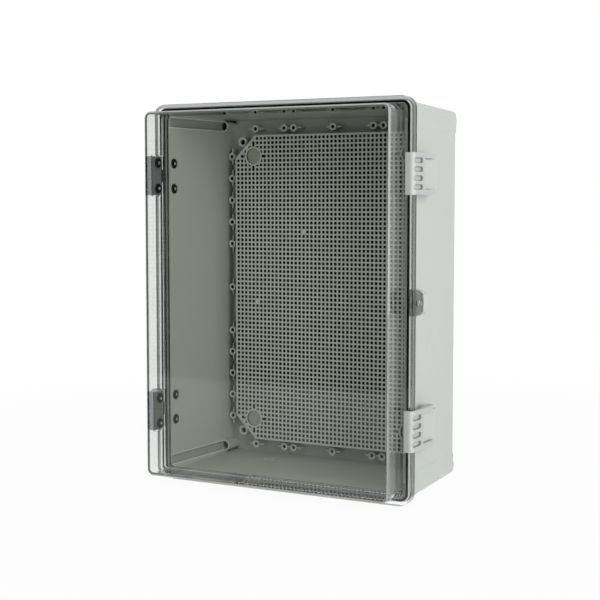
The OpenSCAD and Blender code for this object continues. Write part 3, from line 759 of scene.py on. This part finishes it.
def mounting_plate():
    """The fine perforated plate with its wells, slots, cut corners and back ribs."""
    _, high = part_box("mounting_plate")
    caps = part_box("plate_screw_caps")[1]
    well = (caps.x - WELL_RADIUS + WELL_PLAY, caps.z - WELL_RADIUS + WELL_PLAY)
    half_w = high.x
    half_h = high.z
    front = PLATE_FRONT
    back = front + PLATE_THICKNESS
    middle = (front + back) / 2
    through = 3 * PLATE_THICKNESS
    sheet = perforated_sheet(half_w, half_h, front, back, well)
    piece = new_piece("perforated_plate", sheet, PLATE, "enclosure")

    corners = bmesh.new()
    corner_cut = PLATE_CHAMFER * math.sqrt(2)
    for x, z in four_ways((half_w, half_h)):
        add_box(corners, (x, middle, z), (corner_cut, through, corner_cut), math.pi / 4)
    combine(piece, finished_mesh(corners, "corner_cuts"), "DIFFERENCE")

    backing = bmesh.new()
    outline = cut_corner_outline(half_w, half_h, 0)
    inner_outline = cut_corner_outline(half_w, half_h, RIB_WIDTH)
    add_frame(backing, outline, inner_outline, middle, back + RIB_HEIGHT)
    cup_height = WELL_DEPTH + WELL_FLOOR
    for x, z in four_ways(well):
        centre = (x, front + cup_height / 2, z)
        add_rod(backing, centre, WELL_RADIUS + WELL_RING, cup_height, WELL_SIDES)
    combine(piece, finished_mesh(backing, "plate_backing"), "UNION")

    openings = bmesh.new()
    for x, z in four_ways(well):
        add_rod(openings, (x, front, z), WELL_RADIUS, 2 * WELL_DEPTH, WELL_SIDES)
        for step in range(4):
            turn = step * math.pi / 2
            centre = (x + SLOT_REACH * math.cos(turn), middle, z + SLOT_REACH * math.sin(turn))
            add_box(openings, centre, (SLOT_LENGTH, through, SLOT_WIDTH), -turn)
    combine(piece, finished_mesh(openings, "plate_openings"), "DIFFERENCE")

    screw_holes = bmesh.new()
    for x, z in four_ways(well):
        centre = (x, front + cup_height, z)
        add_rod(screw_holes, centre, SCREW_HOLE_RADIUS, 2 * cup_height, SCREW_HOLE_SIDES)
    combine(piece, finished_mesh(screw_holes, "plate_screw_holes"), "DIFFERENCE")
    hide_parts("mounting_plate")


mounting_plate()

moulding("base", HOUSING, BASE_ROUND)
moulding("cover", CLEAR, COVER_ROUND, FINE_STEPS)
for side in ("upper", "lower"):
    moulding(side + "_latch", LATCH, LATCH_ROUND, FINE_STEPS)
    moulding(side + "_hinge_base_leaf", BASE_LEAF, LEAF_ROUND)
    moulding(side + "_hinge_cover_leaf", COVER_LEAF, LEAF_ROUND)
    moulding(side + "_hinge_pin", PIN_STEEL, PIN_ROUND)
    moulding(side + "_latch_pin", PIN_STEEL, PIN_ROUND)
    for part in ("base", "cover"):
        screws = f"{side}_hinge_{part}_screws"
        screw_pair = moulding(screws, hinge_screw_steel(screws), HINGE_SCREW_ROUND, FINE_STEPS)
        flatten_heads(screw_pair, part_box(part + "_sealing_washers")[1].x)
moulding("plate_screws", SCREW_STEEL, PLATE_SCREW_ROUND)
moulding("plate_screw_caps", CAP, CAP_ROUND)
moulding("base_sealing_washers", RUBBER, WASHER_ROUND, FINE_STEPS)
moulding("cover_sealing_washers", RUBBER, WASHER_ROUND, FINE_STEPS)
moulding("gasket", RUBBER, GASKET_ROUND, FINE_STEPS)


def room_colour(finish, turn):
    """What mirrors show of the room: dim on the camera's side and white behind the object."""
    return finish.mix_colour(ramp(finish, turn, *ROOM_EDGE), grey(ROOM_SHADE), WHITE)


def studio_world():
    """White behind the object, and a dimmer room on the side that the camera stands on."""
    world = bpy.data.worlds.new("studio")
    bpy.context.scene.world = world
    finish = Finish(world)
    depth = split(finish, "Generated")[1]
    light = finish.plain_shader("ShaderNodeBackground", WHITE, WORLD_LIGHT)
    room = finish.plain_shader("ShaderNodeBackground", room_colour(finish, depth), 1.0)
    white = finish.plain_shader("ShaderNodeBackground", WHITE, 1.0)
    mirrored = ray_share(finish, "Is Glossy Ray", "Is Transmission Ray")
    indoors = finish.mix_shader(mirrored, light, room)
    seen = finish.mix_shader(ray_share(finish, "Is Camera Ray"), indoors, white)
    finish.node("ShaderNodeOutputWorld", None, {"Surface": seen})


def studio_floor():
    """A white table that keeps a faint shadow, with its front edge a little way off."""
    shape = bmesh.new()
    bmesh.ops.create_grid(shape, x_segments=1, y_segments=1, size=FLOOR_SIZE)
    floor = bpy.data.objects.new("floor", finished_mesh(shape, "floor"))
    floor.location.z = cad_low.z - FLOOR_GAP
    bpy.context.scene.collection.objects.link(floor)
    finish = Finish(bpy.data.materials.new("floor_white"))
    place = finish.node("ShaderNodeTexCoord", out="Object")
    depth = finish.node("ShaderNodeSeparateXYZ", None, {0: place}, out="Y")
    reach = finish.node("ShaderNodeVectorMath", {"operation": "LENGTH"}, {0: place}, out="Value")
    cloth = finish.plain_shader("ShaderNodeBsdfDiffuse", grey(FLOOR_SHADE))
    glow = finish.plain_shader("ShaderNodeEmission", WHITE, 1.0)
    room = room_colour(finish, depth * reach ** -1)
    table_shade = finish.mix_colour(ramp(finish, depth, *TABLE_EDGE), room, grey(TABLE_SHADE))
    table = finish.plain_shader("ShaderNodeEmission", table_shade, 1.0)
    far_white = (1 - FLOOR_WHITE_NEAR) * ramp(finish, reach, *FLOOR_WHITE_FADE)
    white_share = ray_share(finish, "Is Camera Ray") * (FLOOR_WHITE_NEAR + far_white)
    glow_share = white_share + ray_share(finish, "Is Diffuse Ray") * FLOOR_GLOW
    lit = finish.mix_shader(glow_share, cloth, glow)
    reflected = finish.mix_shader(ramp(finish, depth, *WHITE_EDGE), table, glow)
    mirrored = ray_share(finish, "Is Glossy Ray", "Is Transmission Ray")
    floor.data.materials.append(finish.surface(finish.mix_shader(mirrored, lit, reflected)))


def soft_lamp(name, place, size, power, mirrored):
    """A large lamp turned to the object, which mirrors and glass show or don't."""
    lamp = bpy.data.lights.new(name, "AREA")
    lamp.shape = "RECTANGLE"
    lamp.size = size[0]
    lamp.size_y = size[1]
    lamp.energy = power
    holder = bpy.data.objects.new(name, lamp)
    holder.location = place
    holder.rotation_euler = (Vector(LAMP_AIM) - Vector(place)).to_track_quat("-Z", "Y").to_euler()
    holder.visible_glossy = mirrored
    holder.visible_transmission = mirrored
    bpy.context.scene.collection.objects.link(holder)


def photo_camera():
    camera = bpy.data.cameras.new("photo_camera")
    camera.lens = CAMERA_LENS
    camera.sensor_width = CAMERA_FILM
    holder = bpy.data.objects.new("photo_camera", camera)
    holder.location = CAMERA_PLACE
    holder.rotation_euler = (math.radians(90 + CAMERA_TILT), 0, math.radians(CAMERA_TURN))
    bpy.context.scene.collection.objects.link(holder)
    bpy.context.scene.camera = holder


studio_world()
studio_floor()
photo_camera()
soft_lamp("key", KEY_PLACE, KEY_SIZE, KEY_POWER, mirrored=True)
soft_lamp("fill", FILL_PLACE, FILL_SIZE, FILL_POWER, mirrored=False)
bpy.context.scene.view_settings.view_transform = "Standard"
